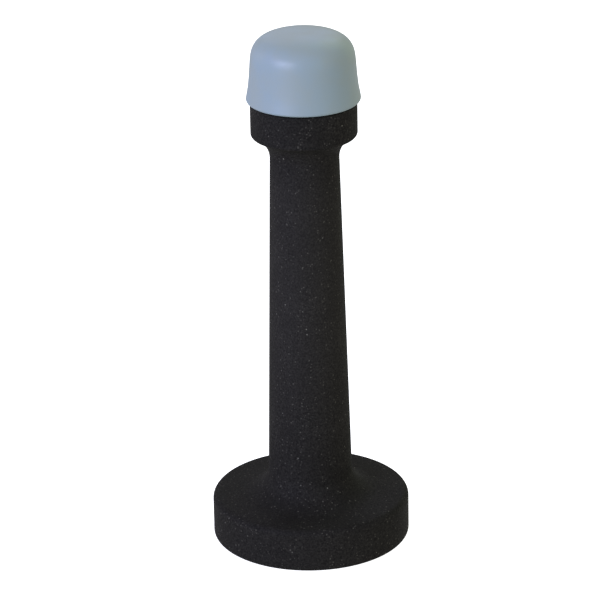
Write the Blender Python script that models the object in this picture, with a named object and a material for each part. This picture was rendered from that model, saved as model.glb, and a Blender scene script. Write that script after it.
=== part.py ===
"""Rigid door stop: one die-cast column with a round flange, a push-on rubber cap and a loose fixing screw.

The stop stands on its flange with its axis along +Z and its origin at the centre of the flange's rim face.
Run with: blender --background --python part.py
"""

import math

import bmesh
import bpy
from mathutils import Matrix, Vector

MM = 0.001

# Driving dimensions of the whole stop
FLANGE_DIA = 36.0 * MM
FLANGE_HEIGHT = 8.0 * MM
COLLAR_TOP = 83.4 * MM
COLLAR_DIA = 19.0 * MM
CAP_DIA = 20.5 * MM  # at its lip, before the lip is rounded
CAP_HEIGHT = 12.3 * MM
TOUCH_GAP = 0.3 * MM  # left between two pieces that touch on the real stop

# Column: flange, tapered stem and collar
FLANGE_FOOT_ROUND = 0.7 * MM
FLANGE_EDGE_ROUND = 1.2 * MM
FLANGE_CROWN_RISE = 0.3 * MM  # the flange's top climbs this much from its edge to the stem
STEM_FOOT_DIA = 15.5 * MM
STEM_NECK_DIA = 12.25 * MM
STEM_FOOT_FILLET = 5.0 * MM
STEM_NECK_FILLET = 4.4 * MM
COLLAR_HEIGHT = 6.1 * MM
COLLAR_UNDERCUT = 1.2 * MM  # drop of the collar's sloping underside, from its edge to the stem
COLLAR_LOWER_ROUND = 0.6 * MM
COLLAR_UPPER_ROUND = 0.3 * MM

# Spigot that the cap is pushed over, with two grip grooves turned into it
SPIGOT_DIA = 14.0 * MM
SPIGOT_HEIGHT = 7.8 * MM
SPIGOT_LEAD_ROUND = 1.0 * MM
SPIGOT_ROOT_ROUND = 0.3 * MM
GROOVE_DEPTH = 0.5 * MM
GROOVE_WIDTH = 1.2 * MM
GROOVE_HEIGHTS = (2.0 * MM, 4.6 * MM)  # each groove's lower edge above the collar

# Bore down the column, open at both ends, with a countersunk seat near the foot
BORE_MOUTH_DIA = 9.0 * MM
BORE_FOOT_DIA = 8.8 * MM
BORE_MOUTH_CHAMFER = 0.5 * MM
SCREW_HOLE_DIA = 4.8 * MM
SEAT_HEIGHT = 7.0 * MM  # where the countersink meets the screw hole
SCREW_HOLE_CHAMFER = 0.4 * MM

# Cored-out underside: the rim carries the load, the ribs and the boss stand back from it
RIM_WALL = 2.6 * MM
RIM_STANDOFF = 0.5 * MM
RIM_INNER_ROUND = 0.3 * MM
POCKET_COUNT = 6
POCKET_HEIGHT = 5.4 * MM
POCKET_INNER_RADIUS = 6.0 * MM
POCKET_WALL_STEP = 0.4 * MM  # ledge between the rim and a pocket
POCKET_CORNER_ROUND = 1.2 * MM
POCKET_CEILING_ROUND = 0.6 * MM
POCKET_DRAFT = 0.2 * MM
POCKET_OVERSHOOT = 1.0 * MM  # how far each core starts below the rim
POCKET_OUTER_STEPS = 7
POCKET_INNER_STEPS = 3
RIB_THICKNESS = 1.6 * MM

# Rubber cap: a drafted skirt with a flared lip, under a domed crown
CAP_LIP_ROUND = 0.4 * MM
CAP_LIP_HEIGHT = 2.5 * MM  # where the lip's flare meets the skirt's draft
CAP_LIP_SWEEP = 30.0 * MM  # radius of the slow bend between the two
CAP_SHOULDER_DIA = 18.75 * MM
CAP_SKIRT_DRAFT = 0.075  # how much the skirt narrows for its height, and the crown with it
CAP_CROWN_HEIGHT = 5.5 * MM
CAP_CROWN_POWER = 3.3  # 2 is an ellipse, and more is a squarer shoulder
CAP_CROWN_STEPS = 10
CAP_SOCKET_DIA = SPIGOT_DIA + 2 * TOUCH_GAP
CAP_SOCKET_DEPTH = SPIGOT_HEIGHT
CAP_SOCKET_MOUTH_ROUND = 0.4 * MM
CAP_SOCKET_CEILING_ROUND = 0.6 * MM

# Countersunk wood screw, 4.2 x 50
SCREW_LENGTH = 50.0 * MM
SCREW_DIA = 4.2 * MM
SCREW_HEAD_DIA = 8.1 * MM
SCREW_HEAD_RIM = 0.3 * MM
SCREW_POINT_LENGTH = 6.0 * MM
SCREW_POINT_DIA = 0.6 * MM
RECESS_DEPTH = 2.4 * MM
RECESS_SPAN = 4.4 * MM
RECESS_WING = 0.95 * MM
RECESS_TAPER = 0.45  # size of the recess's floor against its mouth

COLUMN_SEGMENTS = 64
SCREW_SEGMENTS = 32
ARC_STEP = math.radians(22.5)
CREASE_ANGLE = math.radians(30)


def clear_scene():
    for obj in list(bpy.data.objects):
        bpy.data.objects.remove(obj, do_unlink=True)


def make_material(name, colour, roughness, metallic):
    material = bpy.data.materials.new(name)
    material.use_nodes = True
    shader = material.node_tree.nodes["Principled BSDF"]
    shader.inputs["Base Color"].default_value = (*colour, 1.0)
    shader.inputs["Roughness"].default_value = roughness
    shader.inputs["Metallic"].default_value = metallic
    return material


def rounded_corner(before, corner, after, radius):
    """The arc that rounds a corner of an outline, as points from one tangent point to the other."""
    corner = Vector(corner)
    back = (Vector(before) - corner).normalized()
    ahead = (Vector(after) - corner).normalized()
    half_angle = back.angle(ahead) / 2
    centre = corner + (back + ahead).normalized() * (radius / math.sin(half_angle))
    start = corner + back * (radius / math.tan(half_angle)) - centre
    sweep = math.pi - 2 * half_angle
    turn = 1 if back.cross(ahead) < 0 else -1
    steps = max(2, math.ceil(sweep / ARC_STEP))
    return [
        centre + Matrix.Rotation(turn * sweep * i / steps, 2) @ start for i in range(steps + 1)
    ]


def outline_from(corners, closed):
    """Points of an outline from its corners, each (radius from the axis, height, rounding)."""
    points = []
    for i, (radius, height, rounding) in enumerate(corners):
        ends_here = not closed and i in (0, len(corners) - 1)
        if rounding == 0 or ends_here:
            points.append(Vector((radius, height)))
            continue
        before = corners[i - 1][:2]
        after = corners[(i + 1) % len(corners)][:2]
        points.extend(rounded_corner(before, (radius, height), after, rounding))
    return points


def turned_object(name, outline, closed, segments, material):
    """Spins an outline, given as (radius, height) points, a full turn about the Z axis."""
    mesh = bmesh.new()
    verts = [mesh.verts.new((point.x, 0.0, point.y)) for point in outline]
    pairs = list(zip(verts, verts[1:]))
    if closed:
        pairs.append((verts[-1], verts[0]))
    edges = [mesh.edges.new(pair) for pair in pairs]
    bmesh.ops.spin(
        mesh,
        geom=verts + edges,
        cent=(0, 0, 0),
        axis=(0, 0, 1),
        angle=2 * math.pi,
        steps=segments,
        use_merge=True,
    )
    bmesh.ops.remove_doubles(mesh, verts=mesh.verts, dist=0.001 * MM)
    bmesh.ops.recalc_face_normals(mesh, faces=mesh.faces)
    return object_from(name, mesh, material)


def object_from(name, mesh, material=None):
    data = bpy.data.meshes.new(name)
    mesh.to_mesh(data)
    mesh.free()
    if material:
        data.materials.append(material)
        data.shade_smooth()
        data.set_sharp_from_angle(angle=CREASE_ANGLE)
    obj = bpy.data.objects.new(name, data)
    bpy.context.scene.collection.objects.link(obj)
    return obj


def cut(target, cutter):
    """Subtracts a helper object, which stays in the scene but out of the render."""
    cutter.parent = target
    cutter.display_type = "WIRE"
    cutter.hide_render = True
    modifier = target.modifiers.new("cut " + cutter.name, "BOOLEAN")
    modifier.operation = "DIFFERENCE"
    modifier.object = cutter


def prism_between(mesh, lower, upper):
    """Adds a closed prism from a lower loop of points to an upper one, and returns its upright edges."""
    low = [mesh.verts.new(point) for point in lower]
    high = [mesh.verts.new(point) for point in upper]
    uprights = [mesh.edges.new(pair) for pair in zip(low, high)]
    for i in range(len(low)):
        after = (i + 1) % len(low)
        mesh.faces.new((low[i], low[after], high[after], high[i]))
    mesh.faces.new(list(reversed(low)))
    mesh.faces.new(high)
    return uprights


def stem_radius_at(height):
    """Radius of the tapered stem, straight from the flange's top to the collar's underside."""
    foot = FLANGE_HEIGHT + FLANGE_CROWN_RISE
    neck = COLLAR_TOP - COLLAR_HEIGHT - COLLAR_UNDERCUT
    share = (height - foot) / (neck - foot)
    return (STEM_FOOT_DIA + (STEM_NECK_DIA - STEM_FOOT_DIA) * share) / 2


def column_outside():
    """Corners up the outside, from the rim's inner edge to the spigot's top."""
    flange = FLANGE_DIA / 2
    collar = COLLAR_DIA / 2
    spigot = SPIGOT_DIA / 2
    crown = FLANGE_HEIGHT + FLANGE_CROWN_RISE
    collar_bottom = COLLAR_TOP - COLLAR_HEIGHT
    neck = collar_bottom - COLLAR_UNDERCUT
    corners = [
        (flange - RIM_WALL, 0.0, RIM_INNER_ROUND),
        (flange, 0.0, FLANGE_FOOT_ROUND),
        (flange, FLANGE_HEIGHT, FLANGE_EDGE_ROUND),
        (stem_radius_at(crown), crown, STEM_FOOT_FILLET),
        (stem_radius_at(neck), neck, STEM_NECK_FILLET),
        (collar, collar_bottom, COLLAR_LOWER_ROUND),
        (collar, COLLAR_TOP, COLLAR_UPPER_ROUND),
        (spigot, COLLAR_TOP, SPIGOT_ROOT_ROUND),
    ]
    for lower_edge in GROOVE_HEIGHTS:
        low = COLLAR_TOP + lower_edge
        high = low + GROOVE_WIDTH
        corners += [
            (spigot, low, 0),
            (spigot - GROOVE_DEPTH, low + GROOVE_DEPTH / 2, 0),
            (spigot - GROOVE_DEPTH, high - GROOVE_DEPTH / 2, 0),
            (spigot, high, 0),
        ]
    corners.append((spigot, COLLAR_TOP + SPIGOT_HEIGHT, SPIGOT_LEAD_ROUND))
    return corners


def column_inside():
    """Corners down the bore and across the underside, back to the rim."""
    mouth = BORE_MOUTH_DIA / 2
    bore = BORE_FOOT_DIA / 2
    hole = SCREW_HOLE_DIA / 2
    top = COLLAR_TOP + SPIGOT_HEIGHT
    return [
        (mouth + BORE_MOUTH_CHAMFER, top, 0),
        (mouth, top - BORE_MOUTH_CHAMFER, 0),
        (bore, SEAT_HEIGHT + bore - hole, 0),
        (hole, SEAT_HEIGHT, 0),
        (hole, RIM_STANDOFF + SCREW_HOLE_CHAMFER, 0),
        (hole + SCREW_HOLE_CHAMFER, RIM_STANDOFF, 0),
        (FLANGE_DIA / 2 - RIM_WALL, RIM_STANDOFF, 0),
    ]


def arc_points(radius, half_angle, steps, height):
    """Points along an arc centred on +X, turning anticlockwise when half_angle is positive."""
    angles = [half_angle * (2 * i / steps - 1) for i in range(steps + 1)]
    return [(radius * math.cos(a), radius * math.sin(a), height) for a in angles]


def pocket_outline(inset, height):
    """One pocket in plan, drawn in by inset, between two ribs with parallel sides.

    Its outer arc comes first, then its inner one. Odd step counts keep its corners off the seams of the
    turned body.
    """
    outer = FLANGE_DIA / 2 - RIM_WALL - POCKET_WALL_STEP - inset
    inner = POCKET_INNER_RADIUS + inset
    half_rib = RIB_THICKNESS / 2 + inset
    half_pitch = math.pi / POCKET_COUNT
    wide = half_pitch - math.asin(half_rib / outer)
    narrow = half_pitch - math.asin(half_rib / inner)
    outer_arc = arc_points(outer, wide, POCKET_OUTER_STEPS, height)
    return outer_arc + arc_points(inner, -narrow, POCKET_INNER_STEPS, height)


def pocket_core():
    """One core, standing up from below the flange, with its upright corners and its upper edge rounded."""
    core = bmesh.new()
    lower = pocket_outline(0.0, -POCKET_OVERSHOOT)
    upper = pocket_outline(POCKET_DRAFT, POCKET_HEIGHT)
    uprights = prism_between(core, lower, upper)
    ends = (0, POCKET_OUTER_STEPS, POCKET_OUTER_STEPS + 1, -1)
    bmesh.ops.bevel(
        core,
        geom=[uprights[i] for i in ends],
        offset=POCKET_CORNER_ROUND,
        segments=3,
        profile=0.5,
        affect="EDGES",
    )
    ceiling = [e for e in core.edges if min(v.co.z for v in e.verts) > POCKET_HEIGHT - TOUCH_GAP]
    bmesh.ops.bevel(
        core,
        geom=ceiling,
        offset=POCKET_CEILING_ROUND,
        segments=2,
        profile=0.5,
        affect="EDGES",
    )
    bmesh.ops.recalc_face_normals(core, faces=core.faces)
    data = bpy.data.meshes.new("pocket_core")
    core.to_mesh(data)
    core.free()
    return data


def pockets_cutter():
    """The cores that hollow the flange from below, one between each two ribs."""
    core = pocket_core()
    mesh = bmesh.new()
    for _ in range(POCKET_COUNT):
        mesh.from_mesh(core)
        turn = Matrix.Rotation(2 * math.pi / POCKET_COUNT, 4, "Z")
        bmesh.ops.transform(mesh, matrix=turn, verts=mesh.verts)
    bpy.data.meshes.remove(core)
    return object_from("flange_pockets_cutter", mesh)


def make_column(material):
    outline = outline_from(column_outside() + column_inside(), closed=True)
    column = turned_object("column_casting", outline, True, COLUMN_SEGMENTS, material)
    cut(column, pockets_cutter())
    return column


def cap_outline():
    """The cap's section from the crown's middle, down the outside, and up its socket to the axis.

    Heights are from the skirt's lower edge.
    """
    shoulder = CAP_SHOULDER_DIA / 2
    shoulder_height = CAP_HEIGHT - CAP_CROWN_HEIGHT
    crown = []
    for i in range(CAP_CROWN_STEPS + 1):
        angle = math.pi / 2 * (1 - i / CAP_CROWN_STEPS)
        rise = CAP_CROWN_HEIGHT * math.sin(angle) ** (2 / CAP_CROWN_POWER)
        drafted = shoulder - CAP_SKIRT_DRAFT * rise
        radius = drafted * max(math.cos(angle), 0.0) ** (2 / CAP_CROWN_POWER)
        crown.append((radius if i else 0.0, shoulder_height + rise, 0))
    above_lip = shoulder + CAP_SKIRT_DRAFT * (shoulder_height - CAP_LIP_HEIGHT)
    skirt = [
        (above_lip, CAP_LIP_HEIGHT, CAP_LIP_SWEEP),
        (CAP_DIA / 2, 0.0, CAP_LIP_ROUND),
        (CAP_SOCKET_DIA / 2, 0.0, CAP_SOCKET_MOUTH_ROUND),
        (CAP_SOCKET_DIA / 2, CAP_SOCKET_DEPTH, CAP_SOCKET_CEILING_ROUND),
        (0.0, CAP_SOCKET_DEPTH, 0),
    ]
    return outline_from(crown + skirt, closed=False)


def make_cap(column, material):
    cap = turned_object("bumper_cap", cap_outline(), False, COLUMN_SEGMENTS, material)
    cap.parent = column
    cap.location.z = COLLAR_TOP + TOUCH_GAP
    return cap


def screw_outline():
    """The screw's section from its point up to the middle of its flat head."""
    shank = SCREW_DIA / 2
    head = SCREW_HEAD_DIA / 2
    cone_top = SCREW_LENGTH - SCREW_HEAD_RIM
    corners = [
        (0.0, 0.0, 0),
        (SCREW_POINT_DIA / 2, 0.0, 0),
        (shank, SCREW_POINT_LENGTH, 0),
        (shank, cone_top - (head - shank), 0),
        (head, cone_top, 0),
        (head, SCREW_LENGTH, 0),
        (0.0, SCREW_LENGTH, 0),
    ]
    return outline_from(corners, closed=False)


def cross_outline(scale, height):
    """A plus sign, wing by wing, round the axis."""
    half_span = RECESS_SPAN / 2 * scale
    half_wing = RECESS_WING / 2 * math.sqrt(scale)
    points = []
    for i in range(4):
        turn = Matrix.Rotation(math.pi / 2 * i, 3, "Z")
        for x, y in ((half_wing, -half_wing), (half_span, -half_wing), (half_span, half_wing)):
            points.append(turn @ Vector((x, y, height)))
    return points


def recess_cutter():
    mesh = bmesh.new()
    mouth_overshoot = 0.5 * MM
    floor = cross_outline(RECESS_TAPER, SCREW_LENGTH - RECESS_DEPTH)
    mouth = cross_outline(1.0, SCREW_LENGTH + mouth_overshoot)
    prism_between(mesh, floor, mouth)
    bmesh.ops.recalc_face_normals(mesh, faces=mesh.faces)
    return object_from("cross_recess_cutter", mesh)


def make_screw(column, material):
    """The screw stands loose in the bore with its point level with the flange's rim face."""
    screw = turned_object("fixing_screw", screw_outline(), False, SCREW_SEGMENTS, material)
    screw.parent = column
    screw.location.z = TOUCH_GAP
    cut(screw, recess_cutter())
    return screw


def main():
    clear_scene()
    coat = make_material("black_powder_coat", (0.018, 0.018, 0.019), 0.55, 0.0)
    rubber = make_material("grey_rubber", (0.30, 0.34, 0.37), 0.5, 0.0)
    zinc = make_material("zinc_plated_steel", (0.62, 0.60, 0.55), 0.3, 1.0)
    column = make_column(coat)
    make_cap(column, rubber)
    make_screw(column, zinc)


main()
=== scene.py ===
# %% [markdown]
# # A rigid door stop
#
# This is the stop that is screwed to a skirting board or a floor, to keep a door off the wall. It has
# three pieces: a die-cast column in black textured powder coat, a soft grey rubber cap that takes the
# knock, and a wood screw that sits down the column's bore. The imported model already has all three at
# their real size and knows how they move. This script gives them the surfaces and finishes that a person
# would see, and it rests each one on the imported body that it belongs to.

# %% Load the frame
import math

import bmesh
import bpy
from mathutils import Matrix, Vector


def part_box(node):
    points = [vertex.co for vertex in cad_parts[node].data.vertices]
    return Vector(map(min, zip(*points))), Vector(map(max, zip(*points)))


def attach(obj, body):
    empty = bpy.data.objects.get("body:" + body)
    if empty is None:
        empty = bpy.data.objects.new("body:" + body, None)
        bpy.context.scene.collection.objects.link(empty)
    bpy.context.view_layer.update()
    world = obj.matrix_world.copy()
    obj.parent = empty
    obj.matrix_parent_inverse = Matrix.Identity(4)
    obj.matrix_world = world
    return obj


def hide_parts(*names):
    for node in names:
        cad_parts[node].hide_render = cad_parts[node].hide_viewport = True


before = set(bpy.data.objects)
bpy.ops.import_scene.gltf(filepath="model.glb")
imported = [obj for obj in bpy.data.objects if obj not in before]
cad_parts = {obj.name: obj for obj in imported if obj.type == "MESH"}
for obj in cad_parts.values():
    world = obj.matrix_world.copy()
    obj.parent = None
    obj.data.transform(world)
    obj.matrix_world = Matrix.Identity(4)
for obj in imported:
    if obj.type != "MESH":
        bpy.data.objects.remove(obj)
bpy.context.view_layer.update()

MM = 0.001

column_low, column_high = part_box("column_casting")
cap_low, cap_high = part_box("bumper_cap")
screw_low, screw_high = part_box("fixing_screw")

# %% [markdown]
# ## The camera
#
# So small an object is best seen from well back through a long lens, so that the flange and the cap
# keep their true proportions. The camera looks down by about 22 degrees, which opens the flange into an
# ellipse and still shows the cap's side. Its place is given by a distance and an angle from the stop's
# axis, and it aims a little above the middle. It is turned about its own line of sight by a degree,
# because the stop stands very slightly askew.

# %% Place the camera
CAMERA_DISTANCE = 606.7 * MM
CAMERA_ELEVATION = math.radians(22.56)
CAMERA_PIVOT_HEIGHT = 39.6 * MM
CAMERA_PAN = math.radians(0.124)
CAMERA_TILT = math.radians(0.529)
CAMERA_ROLL = math.radians(-1.08)
CAMERA_LENS = 201.3
CAMERA_SENSOR = 36.0


def place_camera():
    """A long lens, looking along +Y and down at the stop."""
    lens = bpy.data.cameras.new("camera")
    lens.sensor_width = CAMERA_SENSOR
    lens.lens = CAMERA_LENS
    lens.clip_start = CAMERA_DISTANCE / 100
    lens.clip_end = CAMERA_DISTANCE * 20
    camera = bpy.data.objects.new("camera", lens)
    bpy.context.scene.collection.objects.link(camera)
    back = Vector((0, -math.cos(CAMERA_ELEVATION), math.sin(CAMERA_ELEVATION)))
    place = Vector((0, 0, CAMERA_PIVOT_HEIGHT)) + back * CAMERA_DISTANCE
    turn = (
        Matrix.Rotation(math.pi / 2 - CAMERA_ELEVATION, 4, "X")
        @ Matrix.Rotation(CAMERA_PAN, 4, "Y")
        @ Matrix.Rotation(CAMERA_TILT, 4, "X")
        @ Matrix.Rotation(CAMERA_ROLL, 4, "Z")
    )
    camera.matrix_world = Matrix.Translation(place) @ turn
    bpy.context.scene.camera = camera
    return camera


camera = place_camera()
print("camera stands at, in mm:", [round(c / MM) for c in camera.matrix_world.translation])

# %% [markdown]
# ## Writing node trees as expressions
#
# Finishes and repeated shapes are both node trees. Two small classes keep them readable. A `Wire` is one
# output socket, and arithmetic on it adds the Math nodes, so that a mask is written as a sum. `Tree.node`
# adds any other node: it takes the node's type, then its settings, which may change the sockets that it
# has, then what goes into its sockets.

# %% The two classes for node trees
class Wire:
    """One output of a node."""

    def __init__(self, tree, socket):
        self.tree = tree
        self.socket = socket

    def other(self, name):
        """Another output of the same node."""
        return Wire(self.tree, self.socket.node.outputs[name])

    def math(self, operation, *values):
        """A Math node whose first value is this one."""
        sockets = dict(enumerate((self, *values)))
        return self.tree.node("ShaderNodeMath", {"operation": operation}, sockets)

    def __add__(self, value):
        return self.math("ADD", value)

    def __sub__(self, value):
        return self.math("SUBTRACT", value)

    def __rsub__(self, value):
        return self.math("MULTIPLY_ADD", -1.0, value)

    def __mul__(self, value):
        return self.math("MULTIPLY", value)

    def __truediv__(self, value):
        return self.math("DIVIDE", value)

    __radd__ = __add__
    __rmul__ = __mul__

    def clamped(self, low, high):
        """Held between two limits."""
        return self.math("MINIMUM", high).math("MAXIMUM", low)

    def smooth(self, start, end):
        """0 before start and 1 after end, eased between. With start above end it falls instead."""
        sockets = {"Value": self, "From Min": start, "From Max": end}
        return self.tree.node("ShaderNodeMapRange", {"interpolation_type": "SMOOTHSTEP"}, sockets)


class Tree:
    """A shader tree or a geometry tree that nodes are added to."""

    def __init__(self, tree):
        self.tree = tree

    def node(self, kind, settings=None, sockets=None, output=0):
        """A new node with its settings and sockets filled. Returns one of its outputs."""
        made = self.tree.nodes.new(kind)
        for name, value in (settings or {}).items():
            setattr(made, name, value)
        for name, value in (sockets or {}).items():
            self.fill(made.inputs[name], value)
        return Wire(self, made.outputs[output]) if made.outputs else made

    def blend(self, factor, first, second):
        """A colour between two, each a Wire or three numbers."""
        colours = {"A": first, "B": second}
        for name, colour in colours.items():
            if not isinstance(colour, Wire):
                colours[name] = (*colour, 1.0)
        mix = self.tree.nodes.new("ShaderNodeMix")
        mix.data_type = "RGBA"
        for socket in mix.inputs:
            if socket.type == "RGBA" and socket.name in colours:
                self.fill(socket, colours[socket.name])
        self.fill(mix.inputs["Factor"], factor)
        result = next(s for s in mix.outputs if s.type == "RGBA")
        return Wire(self, result)

    def fill(self, socket, value):
        """Links a Wire to a socket, or sets a plain value on it."""
        if isinstance(value, Wire):
            self.tree.links.new(value.socket, socket)
        else:
            socket.default_value = value


print("node classes ready:", Wire.__name__, Tree.__name__)

# %% [markdown]
# ## Turned outlines
#
# All three pieces are round, as if turned on a lathe, so each begins as an outline: half of its section,
# from the axis outwards. An outline is written as a short list of corners, each with its distance from
# the axis, its height and how much it is rounded. One helper puts a true arc at each rounded corner, with
# enough points that no facet shows in a close view.

# %% From corners to a smooth outline
ARC_STEP = math.radians(7)
LONGEST_STEP = 1.5 * MM


def arc_at(before, corner, after, radius):
    """The arc that rounds one corner, between its two tangent points."""
    corner = Vector(corner)
    back = (Vector(before) - corner).normalized()
    ahead = (Vector(after) - corner).normalized()
    half_angle = back.angle(ahead) / 2
    centre = corner + (back + ahead).normalized() * (radius / math.sin(half_angle))
    start = corner + back * (radius / math.tan(half_angle)) - centre
    sweep = math.pi - 2 * half_angle
    turn = 1 if back.cross(ahead) < 0 else -1
    steps = max(2, math.ceil(sweep / ARC_STEP))
    return [centre + Matrix.Rotation(turn * sweep * i / steps, 2) @ start for i in range(steps + 1)]


def outline_from(corners, closed):
    """Points along an outline from its corners, each (distance from the axis, height, rounding)."""
    points = []
    for i, (distance, height, rounding) in enumerate(corners):
        at_an_end = not closed and i in (0, len(corners) - 1)
        if rounding == 0 or at_an_end:
            points.append(Vector((distance, height)))
            continue
        before = corners[i - 1][:2]
        after = corners[(i + 1) % len(corners)][:2]
        points.extend(arc_at(before, (distance, height), after, rounding))
    if closed:
        points.append(points[0].copy())
    return points


def with_even_steps(points, longest):
    """The same outline with its long straight runs divided, so that the surface has well-shaped faces."""
    divided = [points[0]]
    for start, end in zip(points, points[1:]):
        steps = max(1, math.ceil((end - start).length / longest))
        divided += [start.lerp(end, k / steps) for k in range(1, steps + 1)]
    return divided


print("an arc of a quarter turn gets", math.ceil(math.pi / 2 / ARC_STEP), "steps")

# %% [markdown]
# ## A lathe in Geometry Nodes
#
# The turning itself follows a rule: point k of the outline, at each of the angles round the axis. So it
# is a small Geometry Nodes tree. It makes a grid with one row for each point of the outline and one
# column for each angle, reads the outline's point for each row, and bends the grid round the axis. Where
# the ends of the grid meet, the doubled points are merged. The same tree serves every turned piece, and
# only its number of facets changes.

# %% Build the lathe tree
MERGE_DISTANCE = 0.002 * MM
FINE_FACETS = 144


def new_geometry_tree(name, inputs):
    """A geometry tree with these inputs beside its geometry: {name: (socket type, default)}."""
    tree = bpy.data.node_groups.new(name, "GeometryNodeTree")
    face = tree.interface
    face.new_socket("Geometry", in_out="INPUT", socket_type="NodeSocketGeometry")
    for label, (kind, default) in inputs.items():
        socket = face.new_socket(label, in_out="INPUT", socket_type=kind)
        if default is not None:
            socket.default_value = default
    face.new_socket("Geometry", in_out="OUTPUT", socket_type="NodeSocketGeometry")
    return tree


def end_tree(build, given, geometry):
    """Ends a geometry tree: its result as real faces, in the finish that was given."""
    real = build.node("GeometryNodeRealizeInstances", None, {"Geometry": geometry})
    sockets = {"Geometry": real, "Material": given.other("Finish")}
    painted = build.node("GeometryNodeSetMaterial", None, sockets)
    build.node("NodeGroupOutput", None, {"Geometry": painted})


def lathe_tree():
    group = new_geometry_tree(
        "lathe",
        {
            "Facets": ("NodeSocketInt", FINE_FACETS),
            "Merge Distance": ("NodeSocketFloat", MERGE_DISTANCE),
            "Finish": ("NodeSocketMaterial", None),
        },
    )
    build = Tree(group)
    given = build.node("NodeGroupInput")
    facets = given.other("Facets")
    rows = build.node("GeometryNodeAttributeDomainSize", None, {"Geometry": given}, "Point Count")
    grid = build.node("GeometryNodeMeshGrid", None, {"Vertices X": facets + 1, "Vertices Y": rows})
    index = build.node("GeometryNodeInputIndex")
    row = index.math("MODULO", rows)
    column = (index / rows).math("FLOOR")
    angle = column / facets * math.tau
    position = build.node("GeometryNodeInputPosition")
    sample = build.node(
        "GeometryNodeSampleIndex",
        {"data_type": "FLOAT_VECTOR"},
        {"Geometry": given, "Value": position, "Index": row},
    )
    place = build.node("ShaderNodeSeparateXYZ", None, {"Vector": sample})
    distance = place.other("X")
    across = {"X": distance * angle.math("COSINE"), "Y": distance * angle.math("SINE")}
    turned_to = build.node("ShaderNodeCombineXYZ", None, {**across, "Z": place.other("Z")})
    bent = build.node("GeometryNodeSetPosition", None, {"Geometry": grid, "Position": turned_to})
    sockets = {"Geometry": bent, "Distance": given.other("Merge Distance")}
    end_tree(build, given, build.node("GeometryNodeMergeByDistance", None, sockets))
    return group


LATHE = lathe_tree()
print("lathe tree:", len(LATHE.nodes), "nodes")

# %% [markdown]
# ## From a tree to a plain mesh
#
# A Geometry Nodes result only lives as long as its modifier. Each piece is read once as it is evaluated,
# kept as a plain mesh and freed of the modifier. Its normals are set to face out, and it is shaded smooth
# apart from its real edges.

# %% Run a tree on an outline
CREASE_ANGLE = math.radians(32)


def linked(name, data):
    """An object for some data, put in the scene."""
    obj = bpy.data.objects.new(name, data)
    bpy.context.scene.collection.objects.link(obj)
    return obj


def evaluated_mesh(obj, name):
    """A plain mesh of an object with its modifiers applied. The object itself is removed."""
    graph = bpy.context.evaluated_depsgraph_get()
    mesh = bpy.data.meshes.new_from_object(obj.evaluated_get(graph))
    mesh.name = name
    bpy.data.objects.remove(obj, do_unlink=True)
    return mesh


def run_tree(group, name, source, values):
    """The mesh that a geometry tree makes from a source mesh, with its inputs set by name."""
    obj = linked(name, source)
    modifier = obj.modifiers.new(group.name, "NODES")
    modifier.node_group = group
    for item in group.interface.items_tree:
        if item.in_out == "INPUT" and item.name in values:
            modifier[item.identifier] = values[item.name]
    return evaluated_mesh(obj, name)


def faced_outwards(mesh):
    """Turns a mesh's faces outwards and shades it. Returns how many open edges it has."""
    body = bmesh.new()
    body.from_mesh(mesh)
    bmesh.ops.remove_doubles(body, verts=body.verts, dist=MERGE_DISTANCE)
    bmesh.ops.recalc_face_normals(body, faces=body.faces)
    open_edges = sum(1 for edge in body.edges if len(edge.link_faces) != 2)
    body.to_mesh(mesh)
    body.free()
    mesh.shade_smooth()
    mesh.set_sharp_from_angle(angle=CREASE_ANGLE)
    return open_edges


def turned(name, outline, facets, finish):
    """A turned piece: its outline as a chain of edges, put through the lathe tree."""
    chain = bpy.data.meshes.new(name + "_outline")
    points = [(point.x, 0.0, point.y) for point in outline]
    chain.from_pydata(points, [(i, i + 1) for i in range(len(points) - 1)], [])
    mesh = run_tree(LATHE, name, chain, {"Facets": facets, "Finish": finish})
    open_edges = faced_outwards(mesh)
    print(f"{name}: {len(mesh.polygons)} faces, {open_edges} open edges")
    return linked(name, mesh)


def take_place_of(piece, node, body):
    """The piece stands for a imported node, and moves with its body."""
    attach(piece, body)
    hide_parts(node)


# %% [markdown]
# ## The powder coat
#
# The column is coated in black texture powder: a dull, finely sandy skin. Three things build it. Fine
# noise is the sand itself, and it shows both as a light and dark grain and as a bump. A Voronoi pattern
# with one point in each small cell gives the flecks, pale grains that are close together but faint. A
# second, wider pattern paints a few brighter spots into the colour: painted glints, for flakes that catch
# the light. A broad, slow cloud keeps the black from being the same everywhere. Two drifts follow the
# height. The stem is painted a touch paler, which is painted light, and the flange's top face round the
# foot is painted darker, which is painted shade from the stem.

# %% Mix the powder coat
COAT_PIT = (0.0082, 0.0075, 0.0069)
COAT_GRAIN = (0.0312, 0.0290, 0.0252)
FLECK_PALE = (0.089, 0.083, 0.069)
# painted glints: the pale tone of a few bright spots that stand in for flakes catching the light
PAINTED_GLINT_TONE = (0.285, 0.270, 0.226)
# painted light: the stem is painted paler, strongest on its upper half
PAINTED_LIGHT_TONE = (0.080, 0.074, 0.065)
PAINTED_LIGHT_SHARE = 0.105
PAINTED_LIGHT_FROM = (8.0 * MM, 50.0 * MM)
PAINTED_LIGHT_UNTIL = (64.0 * MM, 79.0 * MM)
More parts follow.
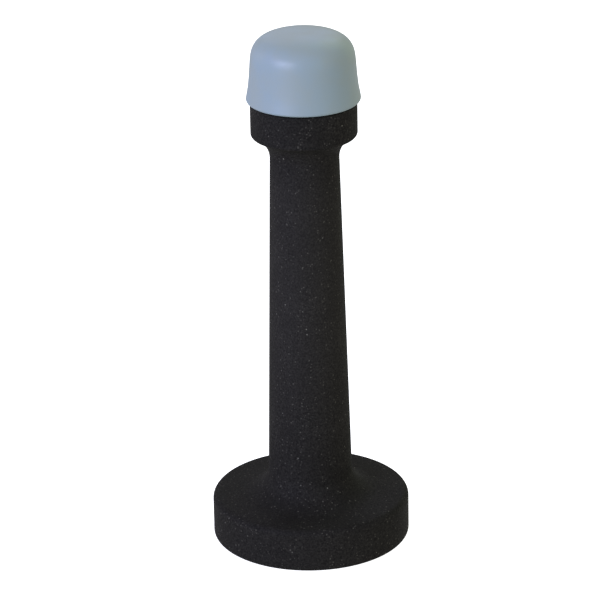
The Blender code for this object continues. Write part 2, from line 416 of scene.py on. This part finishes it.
# painted shade: the flange's top face and the foot of the stem are painted darker
PAINTED_SHADE_SHARE = 0.35
PAINTED_SHADE_FROM = (7.2 * MM, 7.7 * MM)
PAINTED_SHADE_UNTIL = (8.2 * MM, 11.5 * MM)
SOFT_RANGE = (0.3, 0.7)
SAND_GRAIN = 0.30 * MM
SAND_RANGE = (0.28, 0.74)
FLECK_SPACING = 0.55 * MM
FLECK_SIZE = 0.17 * MM
PAINTED_GLINT_SPACING = 1.7 * MM
PAINTED_GLINT_SIZE = 0.16 * MM
FLECK_SMALLEST = 0.7
FLECK_SIZE_SPREAD = 0.6
FLECK_CORE = 0.3
FLECK_RISE = 0.3
CLOUD_SIZE = 7.0 * MM
CLOUD_DEPTH = 0.3
COAT_BUMP = 0.05 * MM
COAT_BUMP_STRENGTH = 0.3
COAT_ROUGHNESS = 0.8
SAND_GLOSS = 0.14
COAT_SPECULAR = 0.08


def new_finish(name):
    """An empty material. Returns it with its tree and its shader node."""
    material = bpy.data.materials.new(name)
    material.use_nodes = True
    tree = Tree(material.node_tree)
    shader = material.node_tree.nodes["Principled BSDF"]
    return material, tree, shader


def noise(tree, place, grain, detail=2.0, roughness=0.5):
    """Soft noise whose lumps are about one grain across, as numbers around 0.5."""
    sockets = {"Vector": place, "Scale": 1 / grain, "Detail": detail, "Roughness": roughness}
    return tree.node("ShaderNodeTexNoise", {"noise_dimensions": "3D"}, sockets)


def flecks(tree, place, spacing, size):
    """Scattered round flecks, each with a size and a strength of its own, from 0 to 1."""
    sockets = {"Vector": place, "Scale": 1 / spacing, "Randomness": 1.0}
    cells = tree.node("ShaderNodeTexVoronoi", {"feature": "F1", "voronoi_dimensions": "3D"}, sockets)
    chance = tree.node("ShaderNodeSeparateColor", None, {"Color": cells.other("Color")})
    reach = (chance.other("Red") * FLECK_SIZE_SPREAD + FLECK_SMALLEST) * (size / spacing)
    strength = chance.other("Green").math("POWER", 2.0)
    return (cells.other("Distance") / reach).smooth(1.0, FLECK_CORE) * strength


def bumps(tree, height, strength, distance):
    """A normal that is tilted as if the surface rose and fell."""
    return tree.node("ShaderNodeBump", None, {"Height": height, "Strength": strength, "Distance": distance})


def feed(tree, shader, **links):
    """Links what varies to the shader: base_color is given as Base Color."""
    for name, wire in links.items():
        tree.tree.links.new(wire.socket, shader.inputs[name.replace("_", " ").title()])


def powder_coat():
    """Black texture powder, with painted light along the stem, painted shade round the foot and painted
    glints. The pale tones go on over the sand, from the faintest to the brightest.
    """
    material, tree, shader = new_finish("black_powder_coat")
    place = tree.node("ShaderNodeTexCoord").other("Object")
    cloud = noise(tree, place, CLOUD_SIZE)
    sand = noise(tree, place, SAND_GRAIN, detail=3.0, roughness=0.6)
    fleck = flecks(tree, place, FLECK_SPACING, FLECK_SIZE)
    # painted glints: a few brighter spots in the colour
    painted_glint = flecks(tree, place, PAINTED_GLINT_SPACING, PAINTED_GLINT_SIZE)
    shade = cloud.smooth(*SOFT_RANGE) * CLOUD_DEPTH + (1 - CLOUD_DEPTH)
    grain = sand.smooth(*SAND_RANGE) * shade
    up = tree.node("ShaderNodeSeparateXYZ", None, {"Vector": place}).other("Z")
    # painted light: paler along the stem
    painted_light = up.smooth(*PAINTED_LIGHT_FROM) * (1 - up.smooth(*PAINTED_LIGHT_UNTIL)) * PAINTED_LIGHT_SHARE
    # painted shade: darker on the flange's top face and round the foot
    painted_shade = up.smooth(*PAINTED_SHADE_FROM) * (1 - up.smooth(*PAINTED_SHADE_UNTIL)) * PAINTED_SHADE_SHARE
    colour = tree.blend(grain, COAT_PIT, COAT_GRAIN)
    colour = tree.blend(painted_light, colour, PAINTED_LIGHT_TONE)
    colour = tree.blend(painted_shade, colour, COAT_PIT)
    colour = tree.blend(fleck, colour, FLECK_PALE)
    colour = tree.blend(painted_glint, colour, PAINTED_GLINT_TONE)
    bump = bumps(tree, sand + fleck * FLECK_RISE, COAT_BUMP_STRENGTH, COAT_BUMP)
    dullness = COAT_ROUGHNESS - sand.smooth(*SOFT_RANGE) * SAND_GLOSS
    feed(tree, shader, base_color=colour, roughness=dullness, normal=bump)
    shader.inputs["Specular IOR Level"].default_value = COAT_SPECULAR
    return material


POWDER_COAT = powder_coat()
print("powder coat:", len(POWDER_COAT.node_tree.nodes), "nodes")

# %% [markdown]
# ## The column
#
# The column is one casting. Its flange is a plain round disc with a soft upper edge, and a fillet carries
# it into the stem. The stem tapers straight up to a neck, flares out again in a second fillet and ends in
# a short collar. Above the collar, out of sight under the cap, stands a spigot with two grip grooves. A
# bore runs down the middle to a countersunk seat near the foot. All of that is one closed outline, so it
# goes through the lathe in one piece.

# %% Outline of the column
FLANGE_RADIUS = (column_high.x - column_low.x) / 2
SPIGOT_TOP = column_high.z
FLANGE_HEIGHT = 8.0 * MM
CROWN_HEIGHT = 8.3 * MM
STEM_FOOT_RADIUS = 7.75 * MM
STEM_NECK_RADIUS = 6.125 * MM
NECK_HEIGHT = 76.1 * MM
COLLAR_BOTTOM = 77.3 * MM
COLLAR_TOP = 83.4 * MM
COLLAR_RADIUS = 9.5 * MM
FLANGE_FOOT_ROUND = 0.7 * MM
FLANGE_EDGE_ROUND = 1.2 * MM
STEM_FOOT_FILLET = 5.0 * MM
STEM_NECK_FILLET = 4.4 * MM
COLLAR_LOWER_ROUND = 0.6 * MM
SPIGOT_RADIUS = 7.0 * MM
GROOVE_DEPTH = 0.5 * MM
GROOVE_WIDTH = 1.2 * MM
GROOVE_HEIGHTS = (2.0 * MM, 4.6 * MM)
BORE_MOUTH_RADIUS = 4.5 * MM
BORE_FOOT_RADIUS = 4.4 * MM
HOLE_RADIUS = 2.4 * MM
SEAT_HEIGHT = 7.0 * MM
RIM_WALL = 2.6 * MM
RIM_STANDOFF = 0.5 * MM
SMALL_ROUND = 0.3 * MM
GROOVE_ROUND = 0.12 * MM
SPIGOT_EDGE_ROUND = 1.0 * MM
MOUTH_CHAMFER = 0.5 * MM
MOUTH_ROUND = 0.15 * MM
SEAT_ROUND = 0.2 * MM
HOLE_CHAMFER = 0.4 * MM
HOLE_ROUND = 0.1 * MM


def column_corners():
    """The casting's section: up the outside to the spigot, then down the bore and under the flange."""
    outside = [
        (FLANGE_RADIUS - RIM_WALL, 0.0, SMALL_ROUND),
        (FLANGE_RADIUS, 0.0, FLANGE_FOOT_ROUND),
        (FLANGE_RADIUS, FLANGE_HEIGHT, FLANGE_EDGE_ROUND),
        (STEM_FOOT_RADIUS, CROWN_HEIGHT, STEM_FOOT_FILLET),
        (STEM_NECK_RADIUS, NECK_HEIGHT, STEM_NECK_FILLET),
        (COLLAR_RADIUS, COLLAR_BOTTOM, COLLAR_LOWER_ROUND),
        (COLLAR_RADIUS, COLLAR_TOP, SMALL_ROUND),
        (SPIGOT_RADIUS, COLLAR_TOP, SMALL_ROUND),
    ]
    for lower in GROOVE_HEIGHTS:
        floor = SPIGOT_RADIUS - GROOVE_DEPTH
        low = COLLAR_TOP + lower
        high = low + GROOVE_WIDTH
        outside += [
            (SPIGOT_RADIUS, low, GROOVE_ROUND),
            (floor, low + GROOVE_DEPTH / 2, GROOVE_ROUND),
            (floor, high - GROOVE_DEPTH / 2, GROOVE_ROUND),
            (SPIGOT_RADIUS, high, GROOVE_ROUND),
        ]
    inside = [
        (SPIGOT_RADIUS, SPIGOT_TOP, SPIGOT_EDGE_ROUND),
        (BORE_MOUTH_RADIUS + MOUTH_CHAMFER, SPIGOT_TOP, MOUTH_ROUND),
        (BORE_MOUTH_RADIUS, SPIGOT_TOP - MOUTH_CHAMFER, MOUTH_ROUND),
        (BORE_FOOT_RADIUS, SEAT_HEIGHT + BORE_FOOT_RADIUS - HOLE_RADIUS, SEAT_ROUND),
        (HOLE_RADIUS, SEAT_HEIGHT, MOUTH_ROUND),
        (HOLE_RADIUS, RIM_STANDOFF + HOLE_CHAMFER, HOLE_ROUND),
        (HOLE_RADIUS + HOLE_CHAMFER, RIM_STANDOFF, HOLE_ROUND),
        (FLANGE_RADIUS - RIM_WALL, RIM_STANDOFF, 0),
    ]
    return outside + inside


column_outline = with_even_steps(outline_from(column_corners(), closed=True), LONGEST_STEP)
column = turned("column_body", column_outline, FINE_FACETS, POWDER_COAT)

# %% [markdown]
# ## Solids between two plans
#
# Two shapes in this scene aren't round: the cores that hollow the flange and the recess in the screw's
# head. Both are a plan drawn twice, at two heights and at two sizes, with a side face for each edge. That
# gives their draft for nothing. One helper builds such a solid and another turns it into a plain mesh.

# %% The two helpers for flat-ended solids
def prism(low_points, high_points):
    """A closed solid between two plans, with the corners of each plan."""
    solid = bmesh.new()
    low = [solid.verts.new(point) for point in low_points]
    high = [solid.verts.new(point) for point in high_points]
    for i, start in enumerate(low):
        after = (i + 1) % len(low)
        solid.faces.new((start, low[after], high[after], high[i]))
    solid.faces.new(reversed(low))
    solid.faces.new(high)
    return solid, low, high


def solid_mesh(solid, name):
    """A finished solid as a plain mesh that faces outwards."""
    bmesh.ops.recalc_face_normals(solid, faces=solid.faces)
    mesh = bpy.data.meshes.new(name)
    solid.to_mesh(mesh)
    solid.free()
    return mesh


print("helpers ready:", prism.__name__, solid_mesh.__name__)

# %% [markdown]
# ## The cored underside
#
# A thick disc of zinc would shrink and sink as it cools, so the flange is hollowed from below by six
# cores. Between them stand six ribs, from the boss round the screw hole to the rim. One core is modelled
# first, with the draft and the rounded edges that let it pull out of the casting.

# %% Shape one core
POCKET_COUNT = 6
POCKET_TOP = 5.4 * MM
POCKET_INNER_RADIUS = 6.0 * MM
POCKET_EDGE = 0.4 * MM
POCKET_OUTER_RADIUS = FLANGE_RADIUS - RIM_WALL - POCKET_EDGE
POCKET_OUTER_STEPS = 15
POCKET_INNER_STEPS = 3
RIB_THICKNESS = 1.6 * MM
POCKET_DRAFT = 0.2 * MM
POCKET_CORNER_ROUND = 1.2 * MM
POCKET_CEILING_ROUND = 0.6 * MM
CORNER_SEGMENTS = 6
CEILING_SEGMENTS = 5
ROUND_BEVEL = {"profile": 0.5, "affect": "EDGES"}


def pocket_plan(inset, height):
    """The core's plan: an outer arc, then an inner one, so that its sides run parallel to the ribs."""
    outer = (POCKET_OUTER_RADIUS - inset, 1, POCKET_OUTER_STEPS)
    inner = (POCKET_INNER_RADIUS + inset, -1, POCKET_INNER_STEPS)
    points = []
    for radius, turn, steps in (outer, inner):
        half = math.pi / POCKET_COUNT - math.asin((RIB_THICKNESS / 2 + inset) / radius)
        for i in range(steps + 1):
            angle = turn * half * (2 * i / steps - 1)
            points.append(Vector((radius * math.cos(angle), radius * math.sin(angle), height)))
    return points


def pocket_core():
    """One core: drafted sides, then its upright corners rounded, and the edge of its ceiling last."""
    core, low, high = prism(pocket_plan(0, -MM), pocket_plan(POCKET_DRAFT, POCKET_TOP))
    corners = (0, POCKET_OUTER_STEPS, POCKET_OUTER_STEPS + 1, len(low) - 1)
    uprights = [core.edges.get((low[i], high[i])) for i in corners]
    rounding = {"offset": POCKET_CORNER_ROUND, "segments": CORNER_SEGMENTS, "clamp_overlap": True}
    bmesh.ops.bevel(core, geom=uprights, **rounding, **ROUND_BEVEL)
    near_top = POCKET_TOP - SMALL_ROUND
    ceiling = [edge for edge in core.edges if min(v.co.z for v in edge.verts) > near_top]
    rounding = {"offset": POCKET_CEILING_ROUND, "segments": CEILING_SEGMENTS}
    bmesh.ops.bevel(core, geom=ceiling, **rounding, **ROUND_BEVEL)
    return solid_mesh(core, "pocket_core")


core_mesh = pocket_core()
print("one core:", len(core_mesh.polygons), "faces")

# %% [markdown]
# ## The ring of cores and the cut
#
# A second, very small tree sets the core down at equal angles round the axis: as many points as there are
# cores, all at the centre, and a copy on each with a turn of its own. Then all six are cut from the
# column at once.

# %% Set the cores in a ring and cut them out
def ring_tree():
    """Sets copies of a shape at equal angles round the Z axis."""
    inputs = {"Count": ("NodeSocketInt", POCKET_COUNT), "Finish": ("NodeSocketMaterial", None)}
    group = new_geometry_tree("ring of copies", inputs)
    build = Tree(group)
    given = build.node("NodeGroupInput")
    count = given.other("Count")
    sockets = {"Count": count, "Offset": (0.0, 0.0, 0.0)}
    centre = build.node("GeometryNodeMeshLine", {"mode": "OFFSET"}, sockets)
    index = build.node("GeometryNodeInputIndex")
    turn = build.node("ShaderNodeCombineXYZ", None, {"Z": index / count * math.tau})
    sockets = {"Points": centre, "Instance": given, "Rotation": turn}
    end_tree(build, given, build.node("GeometryNodeInstanceOnPoints", None, sockets))
    return group


RING = ring_tree()


def cut_from(piece, cutter):
    """The piece with a cutter's shape taken out of it, as a plain mesh again."""
    modifier = piece.modifiers.new("cut", "BOOLEAN")
    modifier.object = cutter
    name = piece.name
    mesh = evaluated_mesh(piece, name)
    bpy.data.objects.remove(cutter, do_unlink=True)
    open_edges = faced_outwards(mesh)
    print(f"{name} after the cut: {len(mesh.polygons)} faces, {open_edges} open edges")
    return linked(name, mesh)


core_inputs = {"Count": POCKET_COUNT, "Finish": POWDER_COAT}
cores = linked("cores", run_tree(RING, "cores", core_mesh, core_inputs))
column = cut_from(column, cores)
take_place_of(column, "column_casting", "column")

# %% [markdown]
# ## The rubber
#
# The cap is moulded in a soft light rubber, blue-grey and satin. Moulded rubber has no grain, so its
# finish is in small things: a slow drift between a bluer and a greyer tone, a skin that is a little
# duller in patches where hands and doors have touched it, and a very fine bloom that breaks up the gloss.

# %% Mix the rubber
RUBBER_BLUE = (0.306, 0.395, 0.427)
RUBBER_GREY = (0.321, 0.390, 0.390)
BLOOM_GRAIN = 0.22 * MM
BLOOM_BUMP = 0.03 * MM
BLOOM_STRENGTH = 0.12
PATCH_SIZE = 5.0 * MM
RUBBER_ROUGHNESS = 0.32
WORN_RANGE = (0.35, 0.65)
PATCH_DULLNESS = 0.06
BLOOM_DULLNESS = 0.05
RUBBER_SPECULAR = 0.5


def soft_rubber():
    """Satin rubber. The slow patches move both its tone and its gloss."""
    material, tree, shader = new_finish("grey_rubber")
    place = tree.node("ShaderNodeTexCoord").other("Object")
    patch = noise(tree, place, PATCH_SIZE, detail=3.0)
    bloom = noise(tree, place, BLOOM_GRAIN, detail=2.0)
    colour = tree.blend(patch.smooth(*SOFT_RANGE), RUBBER_BLUE, RUBBER_GREY)
    bump = bumps(tree, bloom, BLOOM_STRENGTH, BLOOM_BUMP)
    worn = patch.smooth(*WORN_RANGE)
    dullness = worn * PATCH_DULLNESS + bloom * BLOOM_DULLNESS + RUBBER_ROUGHNESS
    feed(tree, shader, base_color=colour, roughness=dullness, normal=bump)
    shader.inputs["Specular IOR Level"].default_value = RUBBER_SPECULAR
    return material


RUBBER = soft_rubber()
print("rubber:", len(RUBBER.node_tree.nodes), "nodes")

# %% [markdown]
# ## The cap
#
# The cap's crown isn't a ball and isn't a box: it is flat in the middle and turns over a full, even
# shoulder. One curve has that character, the superellipse, which is an ellipse whose squares are raised
# to a higher power. Below the shoulder the skirt widens gently and ends in a small flared lip. Inside is
# a socket for the spigot, with two low beads that sit in the spigot's grooves.

# %% Outline of the cap
CAP_BOTTOM = cap_low.z
CAP_TOP = cap_high.z
CAP_LIP_RADIUS = 10.25 * MM
CAP_SHOULDER_RADIUS = 9.375 * MM
SKIRT_DRAFT = 0.075
CROWN_RISE = 5.5 * MM
CROWN_POWER = 3.3
CROWN_STEPS = 40
SHOULDER_HEIGHT = CAP_TOP - CROWN_RISE
LIP_HEIGHT = 2.5 * MM
LIP_SWEEP = 30.0 * MM
LIP_ROUND = 0.4 * MM
SOCKET_RADIUS = 7.3 * MM
SOCKET_DEPTH = 7.8 * MM
SOCKET_EDGE_ROUND = 0.4 * MM
SOCKET_CORNER_ROUND = 0.6 * MM
BEAD_RISE = 0.2 * MM
BEAD_HALF_WIDTH = 0.4 * MM
BEAD_CREST_ROUND = 0.2 * MM
BEAD_FOOT_ROUND = 0.1 * MM


def crown_points():
    """The superellipse from the middle of the crown down to the shoulder."""
    points = []
    for i in range(CROWN_STEPS + 1):
        angle = math.pi / 2 * (1 - i / CROWN_STEPS)
        rise = CROWN_RISE * math.sin(angle) ** (2 / CROWN_POWER)
        across = max(math.cos(angle), 0.0) ** (2 / CROWN_POWER) if i else 0.0
        reach = CAP_SHOULDER_RADIUS - SKIRT_DRAFT * rise
        points.append((reach * across, SHOULDER_HEIGHT + rise, 0))
    return points


def cap_corners():
    """The cap's section: crown, skirt, flared lip, then up the socket past its two beads."""
    lip_height = CAP_BOTTOM + LIP_HEIGHT
    skirt_foot = CAP_SHOULDER_RADIUS + SKIRT_DRAFT * (SHOULDER_HEIGHT - lip_height)
    ceiling = CAP_BOTTOM + SOCKET_DEPTH
    below = [
        (skirt_foot, lip_height, LIP_SWEEP),
        (CAP_LIP_RADIUS, CAP_BOTTOM, LIP_ROUND),
        (SOCKET_RADIUS, CAP_BOTTOM, SOCKET_EDGE_ROUND),
    ]
    for lower in GROOVE_HEIGHTS:
        middle = COLLAR_TOP + lower + GROOVE_WIDTH / 2
        below += [
            (SOCKET_RADIUS, middle - BEAD_HALF_WIDTH, BEAD_FOOT_ROUND),
            (SOCKET_RADIUS - BEAD_RISE, middle, BEAD_CREST_ROUND),
            (SOCKET_RADIUS, middle + BEAD_HALF_WIDTH, BEAD_FOOT_ROUND),
        ]
    below += [(SOCKET_RADIUS, ceiling, SOCKET_CORNER_ROUND), (0.0, ceiling, 0)]
    return crown_points() + below


cap_outline = with_even_steps(outline_from(cap_corners(), closed=False), LONGEST_STEP)
cap = turned("rubber_cap", cap_outline, FINE_FACETS, RUBBER)
take_place_of(cap, "bumper_cap", "cap")

# %% [markdown]
# ## The zinc plate
#
# The screw is steel with a bright zinc plate. Plating follows the metal under it, so the finish is a
# mirror gone slightly soft: a faint yellow cast that comes and goes, and fine drawn lines from the wire
# that the screw was made of.

# %% Mix the zinc plate
ZINC_BRIGHT = (0.66, 0.65, 0.62)
ZINC_YELLOW = (0.60, 0.55, 0.44)
DRAWN_GRAIN = 0.12 * MM
DRAWN_STRETCH = (1.0, 1.0, 0.06)
DRAWN_BUMP = 0.02 * MM
DRAWN_STRENGTH = 0.15
CAST_SIZE = 2.6 * MM
CAST_RANGE = (0.35, 0.7)
CAST_SHARE = 0.8
ZINC_ROUGHNESS = 0.22
LINES_DULLNESS = 0.12
CAST_DULLNESS = 0.1


def zinc_plate():
    """Plated steel, with its drawn lines stretched along the screw."""
    material, tree, shader = new_finish("zinc_plated_steel")
    place = tree.node("ShaderNodeTexCoord").other("Object")
    drawn = tree.node("ShaderNodeMapping", None, {"Vector": place, "Scale": DRAWN_STRETCH})
    lines = noise(tree, drawn, DRAWN_GRAIN, detail=3.0)
    cast = noise(tree, place, CAST_SIZE, detail=2.0)
    colour = tree.blend(cast.smooth(*CAST_RANGE) * CAST_SHARE, ZINC_BRIGHT, ZINC_YELLOW)
    bump = bumps(tree, lines, DRAWN_STRENGTH, DRAWN_BUMP)
    dullness = lines * LINES_DULLNESS + cast * CAST_DULLNESS + ZINC_ROUGHNESS
    feed(tree, shader, base_color=colour, roughness=dullness, normal=bump)
    shader.inputs["Metallic"].default_value = 1.0
    return material


ZINC = zinc_plate()
print("zinc:", len(ZINC.node_tree.nodes), "nodes")

# %% [markdown]
# ## The screw
#
# The screw's thread follows a rule from end to end: the crest climbs one pitch in each turn. A grid is
# wound round the axis so that its rows climb in the same way. Then every crest lies along one row of the
# grid and comes out sharp, which a plain lathe or a displaced cylinder can't do. Near the point and near
# the plain shank the thread dies away. Rows that would run past either end are held there and merge into
# it.

# %% Wind the threaded shank
SHANK_RADIUS = 2.1 * MM
CORE_RADIUS = 1.45 * MM
PITCH = 2.8 * MM
THREAD_LENGTH = 33.0 * MM
POINT_LENGTH = 6.0 * MM
CREST_HALF_WIDTH = 0.15
POINT_FULLNESS = 0.7
ROWS_PER_TURN = 20
SHANK_FACETS = 48


def thread_tree():
    """A grid wound round the axis in step with the thread, so that one of its rows is the crest."""
    group = new_geometry_tree(
        "wood screw thread",
        {
            "Facets": ("NodeSocketInt", SHANK_FACETS),
            "Rows per Turn": ("NodeSocketInt", ROWS_PER_TURN),
            "Pitch": ("NodeSocketFloat", PITCH),
            "Core Radius": ("NodeSocketFloat", CORE_RADIUS),
            "Shank Radius": ("NodeSocketFloat", SHANK_RADIUS),
            "Point Length": ("NodeSocketFloat", POINT_LENGTH),
            "Thread Length": ("NodeSocketFloat", THREAD_LENGTH),
            "Crest Half Width": ("NodeSocketFloat", CREST_HALF_WIDTH),
            "Finish": ("NodeSocketMaterial", None),
        },
    )
    build = Tree(group)
    given = build.node("NodeGroupInput")
    facets, per_turn, pitch = (given.other(name) for name in ("Facets", "Rows per Turn", "Pitch"))
    core, shank = given.other("Core Radius"), given.other("Shank Radius")
    point, length = given.other("Point Length"), given.other("Thread Length")
    rows = (length / pitch + 2) * per_turn
    grid = build.node("GeometryNodeMeshGrid", None, {"Vertices X": facets + 1, "Vertices Y": rows + 1})
    count = build.node("GeometryNodeAttributeDomainSize", None, {"Geometry": grid}, "Point Count")
    size = count / (facets + 1)
    index = build.node("GeometryNodeInputIndex")
    row = (index + 0.5).math("MODULO", size) - 0.5
    share = ((index + 0.5) / size).math("FLOOR") / facets
    angle = share * math.tau
    turns = row / per_turn + share - 1
    height = (turns * pitch).clamped(0.0, length)
    along = row / per_turn
    from_crest = (along.math("FRACT") - 0.5).math("ABSOLUTE")
    crest = (1 - from_crest / given.other("Crest Half Width")).clamped(0.0, 1.0)
    runout = (length - height) / pitch
    sockets = {"Value": runout, "From Min": 0.0, "From Max": 1.0, "To Min": shank, "To Max": core}
    root = build.node("ShaderNodeMapRange", None, sockets)
    radius = root + crest * (shank - root)
    taper = (height / point).clamped(0.0, 1.0)
    slim = radius * taper.math("POWER", POINT_FULLNESS)
    across = {"X": slim * angle.math("COSINE"), "Y": slim * angle.math("SINE")}
    wound_to = build.node("ShaderNodeCombineXYZ", None, {**across, "Z": height})
    sockets = {"Geometry": grid, "Position": wound_to}
    end_tree(build, given, build.node("GeometryNodeSetPosition", None, sockets))
    return group


THREAD = thread_tree()
thread = run_tree(THREAD, "thread", bpy.data.meshes.new("thread_start"), {"Finish": ZINC})
print("thread:", len(thread.polygons), "faces")

# %% [markdown]
# ## The plain shank and the countersunk head
#
# Above the thread the shank is plain up to the head's cone. The head is flat on top, with a cross recess
# for the driver. The shank and head are turned as one open-ended piece with the same facets as the
# thread, so their edges meet point for point and merge into one body. The recess is cut last.

# %% Turn the head, join the thread and cut the recess
HEAD_RADIUS = 4.05 * MM
HEAD_RIM = 0.3 * MM
SCREW_BOTTOM = screw_low.z
SCREW_LENGTH = screw_high.z - screw_low.z
RECESS_DEPTH = 2.4 * MM
RECESS_SPAN = 4.4 * MM
RECESS_WING = 0.95 * MM
RECESS_TAPER = 0.45
RECESS_FLARE = 1.1
RECESS_ABOVE = 0.5 * MM
UNDERHEAD_ROUND = 0.8 * MM
HEAD_EDGE_ROUND = 0.08 * MM


def head_corners():
    """The plain shank and the head's cone, open at the bottom where the thread joins."""
    cone_top = SCREW_LENGTH - HEAD_RIM
    return [
        (SHANK_RADIUS, THREAD_LENGTH, 0),
        (SHANK_RADIUS, cone_top - (HEAD_RADIUS - SHANK_RADIUS), UNDERHEAD_ROUND),
        (HEAD_RADIUS, cone_top, HEAD_EDGE_ROUND),
        (HEAD_RADIUS, SCREW_LENGTH, HEAD_EDGE_ROUND),
        (0.0, SCREW_LENGTH, 0),
    ]


def recess_plan(scale, height):
    """A plus sign's outline, with three corners in each quarter."""
    span = RECESS_SPAN / 2 * scale
    wing = RECESS_WING / 2 * math.sqrt(scale)
    points = []
    for quarter in range(4):
        turn = Matrix.Rotation(math.pi / 2 * quarter, 3, "Z")
        points += [turn @ Vector((x, y, height)) for x, y in ((wing, -wing), (span, -wing), (span, wing))]
    return points


def recess_cutter():
    """A plus sign that narrows towards its floor."""
    floor = recess_plan(RECESS_TAPER, SCREW_LENGTH - RECESS_DEPTH)
    mouth = recess_plan(RECESS_FLARE, SCREW_LENGTH + RECESS_ABOVE)
    cutter, _, _ = prism(floor, mouth)
    return linked("recess", solid_mesh(cutter, "recess"))


def joined_with(piece, mesh, name, finish):
    """One plain mesh of a piece and another mesh. The piece itself is removed."""
    both = bmesh.new()
    both.from_mesh(piece.data)
    both.from_mesh(mesh)
    bpy.data.objects.remove(piece, do_unlink=True)
    whole = bpy.data.meshes.new(name)
    both.to_mesh(whole)
    both.free()
    whole.materials.append(finish)
    return whole


head = turned("screw_head", outline_from(head_corners(), closed=False), SHANK_FACETS, ZINC)
whole = joined_with(head, thread, "wood_screw", ZINC)
print("open edges after joining:", faced_outwards(whole))
screw = cut_from(linked("wood_screw", whole), recess_cutter())
screw.data.transform(Matrix.Translation((0, 0, SCREW_BOTTOM)))
take_place_of(screw, "fixing_screw", "screw")

# %% [markdown]
# ## Floor and light
#
# The stop stands on a plain white floor under soft light, as in a light tent. An even white room gives
# about half of the light. The rest comes from panels: a wide cool softbox at the front left, which makes
# the one clear highlight on the cap, and weak fills, cool at the left and warm at the right. Two panels
# behind and above carry a little light over the flange and the crown, and two low ones draw a thin rim
# along both sides of the stem. So the black coat shows its form by gentle differences only.
#
# The floor glows, so that it stays plain white to the edge of the frame. Its glow is kept off the stop:
# the rays that light the pieces, and the ones that mirror in them, pass through the floor into the even
# room.

# %% Lay the floor and hang the lights
FLOOR_SIDE = 6.0
FLOOR_COLOUR = (0.85, 0.85, 0.85)
FLOOR_GLOW = 1.0
FLOOR_DRIFT_SIZE = 0.15
FLOOR_DRIFT_TONE = (0.837, 0.837, 0.837)
ROOM_STRENGTH = 0.535
PANELS = {
    # name: (place in m, width and height in m, power in W, colour)
    "softbox": ((-0.440, -0.489, 0.289), (0.44, 0.24), 3.28, (0.56, 0.62, 1.0)),
    "left_panel": ((-0.597, -0.160, 0.379), (0.40, 0.40), 0.43, (0.20, 0.15, 1.0)),
    "left_rim_panel": ((-0.621, 0.289, 0.195), (0.30, 0.30), 0.15, (1.0, 0.80, 0.45)),
    "right_panel": ((0.423, -0.504, 0.289), (0.40, 0.40), 0.15, (0.88, 1.0, 0.10)),
    "right_rim_panel": ((0.484, 0.484, 0.196), (0.40, 0.40), 0.16, (0.62, 1.0, 0.40)),
    "back_panel": ((0.0, 0.594, 0.421), (0.45, 0.45), 0.42, (0.72, 0.70, 1.0)),
    "back_right_panel": ((0.247, 0.429, 0.545), (0.40, 0.40), 0.34, (0.83, 1.0, 0.36)),
}
LIGHT_AIM = Vector((0, 0, 0.05))


def pale_floor():
    """A white floor that only the camera sees."""
    material, tree, shader = new_finish("pale_floor")
    place = tree.node("ShaderNodeTexCoord").other("Object")
    drift = noise(tree, place, FLOOR_DRIFT_SIZE)
    colour = tree.blend(drift, FLOOR_COLOUR, FLOOR_DRIFT_TONE)
    feed(tree, shader, base_color=colour)
    shader.inputs["Roughness"].default_value = 0.9
    shader.inputs["Specular IOR Level"].default_value = 0.1
    shader.inputs["Emission Color"].default_value = (1.0, 1.0, 1.0, 1.0)
    shader.inputs["Emission Strength"].default_value = FLOOR_GLOW
    half = FLOOR_SIDE / 2
    corners = [(x * half, y * half, 0) for x, y in ((-1, -1), (1, -1), (1, 1), (-1, 1))]
    mesh = bpy.data.meshes.new("floor")
    mesh.from_pydata(corners, [], [(0, 1, 2, 3)])
    mesh.materials.append(material)
    floor = linked("floor", mesh)
    floor.visible_diffuse = False
    floor.visible_glossy = False
    return floor


def hang_panel(name, place, size, power, colour):
    """A soft panel that faces the stop."""
    light = bpy.data.lights.new(name, "AREA")
    light.shape = "RECTANGLE"
    light.size, light.size_y = size
    light.energy = power
    light.color = colour
    panel = linked(name, light)
    panel.location = place
    panel.rotation_euler = (LIGHT_AIM - Vector(place)).to_track_quat("-Z", "Y").to_euler()
    return panel


def pale_surroundings(strength):
    """The even white light from all round."""
    world = bpy.data.worlds.new("pale_room")
    world.use_nodes = True
    background = world.node_tree.nodes["Background"]
    background.inputs["Color"].default_value = (1.0, 1.0, 1.0, 1.0)
    background.inputs["Strength"].default_value = strength
    bpy.context.scene.world = world


pale_floor()
for panel_name, (place, size, power, colour) in PANELS.items():
    hang_panel(panel_name, place, size, power, colour)
pale_surroundings(ROOM_STRENGTH)
bpy.context.scene.view_settings.view_transform = "Standard"
print("lights:", list(PANELS))
